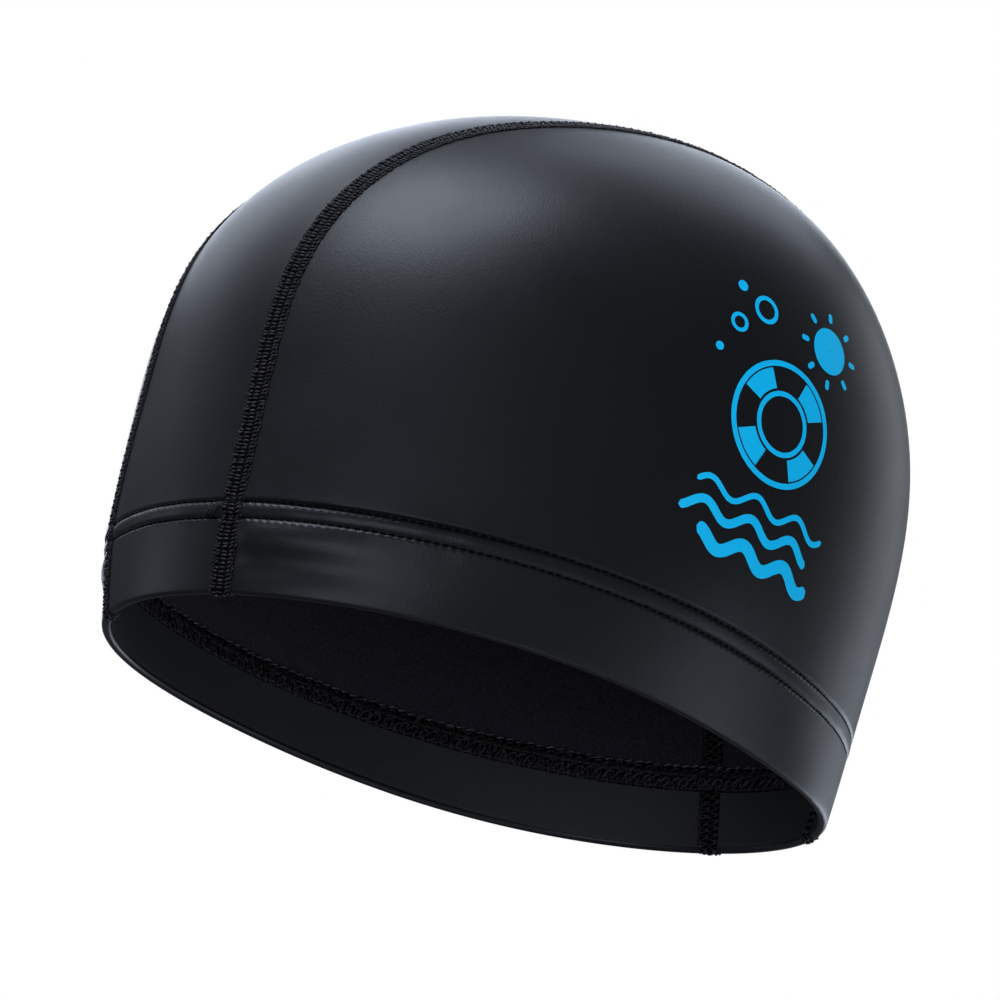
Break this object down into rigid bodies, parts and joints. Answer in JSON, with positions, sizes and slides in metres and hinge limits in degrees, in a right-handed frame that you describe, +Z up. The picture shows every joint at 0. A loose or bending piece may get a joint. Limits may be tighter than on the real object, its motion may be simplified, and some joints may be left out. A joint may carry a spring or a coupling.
{
  "type": "swim cap",
  "caption": "Swim cap of three coated stretch-cloth panels joined by flatlock seams, with a turned-in coverstitched hem, in the form it has when worn.",
  "frame": {"origin": "centre of the head opening, in the plane of the rim", "axes": "+Z up through the crown, -Y towards the forehead, +X towards the wearer's left"},
  "size_m": [0.1806, 0.1954, 0.1529],
  "materials": {
    "coated_cloth": "black knit with a satin polyurethane coat outside and a matt back inside",
    "thread": "matt black sewing thread"
  },
  "bodies": {
    "root": {"centre_panel": "coated_cloth", "left_panel": "coated_cloth", "right_panel": "coated_cloth", "left_seam": "thread", "right_seam": "thread", "hem_coverstitch": "thread"}
  },
  "joints": []
}
